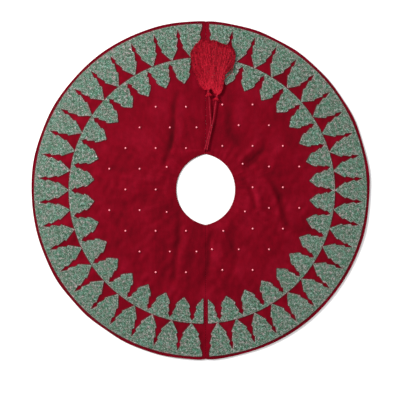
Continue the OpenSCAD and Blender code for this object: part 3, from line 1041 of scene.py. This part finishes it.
def build_ruff(name):
    """Short yarn that flares back along the cord from the binding."""
    middle, along, across = tassel_axis(name)
    count, steps = 210, 7
    draw = np.random.default_rng(61)
    t = np.linspace(0, 1, steps)[None, :, None]
    angle = draw.uniform(0, 2 * math.pi, count)[:, None, None]
    length = draw.uniform(10, 15, count)[:, None, None] * MM
    flare = draw.uniform(0.35, 1.0, count)[:, None, None] * 11.5 * MM
    spread = 2.6 * MM + flare * t**1.5
    height = 2.4 * MM + 3.4 * MM * t**1.4
    wobble = 0.8 * MM * np.sin(5 * t + 9 * angle)
    root = middle - along * 2.5 * MM
    sideways = np.cos(angle) * spread + wobble
    paths = root - along * (length * t) + across * sideways + UP * np.sin(angle) * height
    radius = YARN_R * (1 - 0.35 * t[0, :, 0])
    obj = tubes("tassel_ruff_" + name, paths, radius, 4, tassel_yarn)
    finish_piece(obj, ["tassel_ruff_" + name], body=name + "_tie")


def build_binding(name):
    """Thread wound round the neck, over the yarn's ends."""
    middle, along, across = tassel_axis(name)
    low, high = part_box("tassel_binding_" + name)
    radius = (high.z - low.z) / 2 - 0.6 * MM
    half = 3.3 * MM
    t = np.linspace(-1, 1, 230)[:, None]
    angle = 9 * math.pi * t
    waist = radius * (1 - 0.12 * np.sin(math.pi * t / 2 + math.pi / 2))
    path = middle + along * half * t + across * waist * np.cos(angle) + UP * waist * np.sin(angle)
    obj = tubes("tassel_binding_" + name, path[None], 0.55 * MM, 6, cord_yarn)
    finish_piece(obj, ["tassel_binding_" + name], body=name + "_tie")


def right_spread(side, t):
    """Half-width in mm of a fringe to the right of its middle: the right one stays narrow, then flares."""
    if side > 0:
        return 17 * (1 - np.exp(-t / 0.08)) + 28 * smooth_step((t - 0.5) / 0.32)
    return 44 * (1 - np.exp(-t / 0.2))


def left_spread(side, t):
    """Half-width in mm of a fringe to the left of its middle."""
    if side > 0:
        return 42 * (1 - np.exp(-t / 0.16))
    return 34 * (1 - np.exp(-t / 0.1)) + 12 * smooth_step((t - 0.35) / 0.3)


def build_fringe(name, side):
    """Loose strands from the binding, which spread to a shaggy brush."""
    node = "tassel_fringe_" + name
    middle, along, _ = tassel_axis(name)
    points = node_points(node)
    reach = np.linalg.norm(points - middle, axis=1)
    end = points[reach > 0.97 * reach.max()].mean(axis=0)
    end[2] = middle[2]
    root = middle + along * 3.0 * MM
    axis = end - root
    length = np.linalg.norm(axis)
    axis /= length
    across = np.array([axis[1], -axis[0], 0])
    count, steps = 980, 22
    draw = np.random.default_rng(71)
    t = np.linspace(0, 1, steps)[None, :, None]

    def each(low, high):
        return draw.uniform(low, high, count)[:, None, None]

    place = each(-1, 1)
    place = np.where(each(0, 1) < 0.1, place * 1.06, place)
    full = np.abs(place)
    outer_side = 1 - 0.16 * full**4 if side > 0 else 1 - 0.22 * full**1.6
    rounded_off = np.where(place * side > 0, outer_side, 1 + (0.06 if side > 0 else -0.05) * full)
    reach = length * np.where(each(0, 1) < 0.12, each(0.7, 0.95), each(0.95, 1.03)) * rounded_off
    wide = np.where(place > 0, right_spread(side, t), left_spread(side, t)) * place * MM
    opened = 1 - np.exp(-t / 0.2)
    wander = each(0.6, 2.8) * MM * opened * np.sin(2 * math.pi * (each(0.8, 2.2) * t + each(0, 1)))
    crimp = each(0.2, 0.7) * MM * opened * np.sin(2 * math.pi * (each(5, 8) * t + each(0, 1)))
    layer = each(-1, 1)
    height = layer * (2.0 + 0.9 * opened) * MM + 0.4 * MM * opened
    ripple = each(0.1, 0.6) * MM * opened * np.sin(2 * math.pi * (each(1.5, 3) * t + each(0, 1)))
    bulk = np.sqrt(np.clip(1 - (place / 1.2) ** 2, 0.05, 1))
    sideways = wide + wander + crimp
    paths = root + axis * (reach * t) + across * sideways + UP * (height * bulk + ripple)
    # Each strand's own tone, plus painted shade: darker on lower strands, towards the fringe's sides and
    # towards its tips.
    tints = (each(-0.21, 0.16) + 0.1 * layer - 0.14 * full**2 - 0.08 * t)[..., 0]
    obj = tubes(node, paths, YARN_R, 3, tassel_yarn, tints=tints)
    finish_piece(obj, [node])


# ---------------------------------------------------------------- build all

build_front_seam()
for name, side in SIDES.items():
    build_velvet(name, side)
    build_lining(name, side)
    build_backing(name, side)
    build_stay_tape(name, side)
    build_piping(name, side)
    build_filler_cord(name, side)
    build_neck_stitching(name, side)
    build_beads("outer", name)
    build_beads("inner", name)
    build_pearls(name)
    build_tab(name, side)
    build_knot(name)
    build_cord(name, side)
    build_ruff(name)
    build_binding(name)
    build_fringe(name, side)

# ---------------------------------------------------------------- floor, light and camera


def sink_with_fold(floor, rest_z):
    """Keeps the floor under the left half when that folds beneath the right one: the floor takes
    half the height of a point twice as far out as the half's hem."""
    folded_depth = 17 * MM
    follower = bpy.data.objects.new("floor_follower", None)
    bpy.context.scene.collection.objects.link(follower)
    follower.parent = frame["bodies"]["left_half"]
    follower.location = (-2 * HEM_R, 0, folded_depth)
    floor.location.z = 2 * rest_z - folded_depth
    follow = floor.constraints.new("COPY_LOCATION")
    follow.target = follower
    follow.use_x = False
    follow.use_y = False
    follow.influence = 0.5


def build_stage():
    reach = 14.0                # metres from the middle to each side of the floor
    floor = new_object(
        "floor",
        [(-reach, -reach, 0), (reach, -reach, 0), (reach, reach, 0), (-reach, reach, 0)],
        [(0, 1, 2, 3)],
        Shader("floor_paint", Roughness=0.9, Base_Color=(0.9, 0.9, 0.9, 1)).material,
    )
    sink_with_fold(floor, -0.4 * MM)
    world = bpy.data.worlds.new("studio")
    bpy.context.scene.world = world
    world.use_nodes = True
    world.node_tree.nodes["Background"].inputs["Color"].default_value = (1, 1, 1, 1)
    world.node_tree.nodes["Background"].inputs["Strength"].default_value = 0.6


def soft_light(name, place, size, power):
    data = bpy.data.lights.new(name, "AREA")
    data.shape = "DISK"
    data.size = size
    data.energy = power
    light = bpy.data.objects.new(name, data)
    bpy.context.scene.collection.objects.link(light)
    light.location = place
    light.rotation_euler = (-Vector(place)).to_track_quat("-Z", "Y").to_euler()


def build_camera():
    """Straight above, with a long lens. The skirt is a little up and left of the middle."""
    data = bpy.data.cameras.new("camera")
    data.lens = 100
    data.sensor_width = 36
    shown = 2 * HEM_R * 400 / 338
    aim_x, aim_y = -20.6 * MM, -37.9 * MM
    camera = bpy.data.objects.new("camera", data)
    camera.location = (aim_x, aim_y, shown * data.lens / data.sensor_width)
    bpy.context.scene.collection.objects.link(camera)
    bpy.context.scene.camera = camera


build_stage()
soft_light("key", (-2.4, 1.6, 2.2), 1.2, 170)
soft_light("fill", (2.4, -1.2, 3.0), 2.2, 30)
build_camera()
bpy.context.scene.view_settings.view_transform = "Standard"
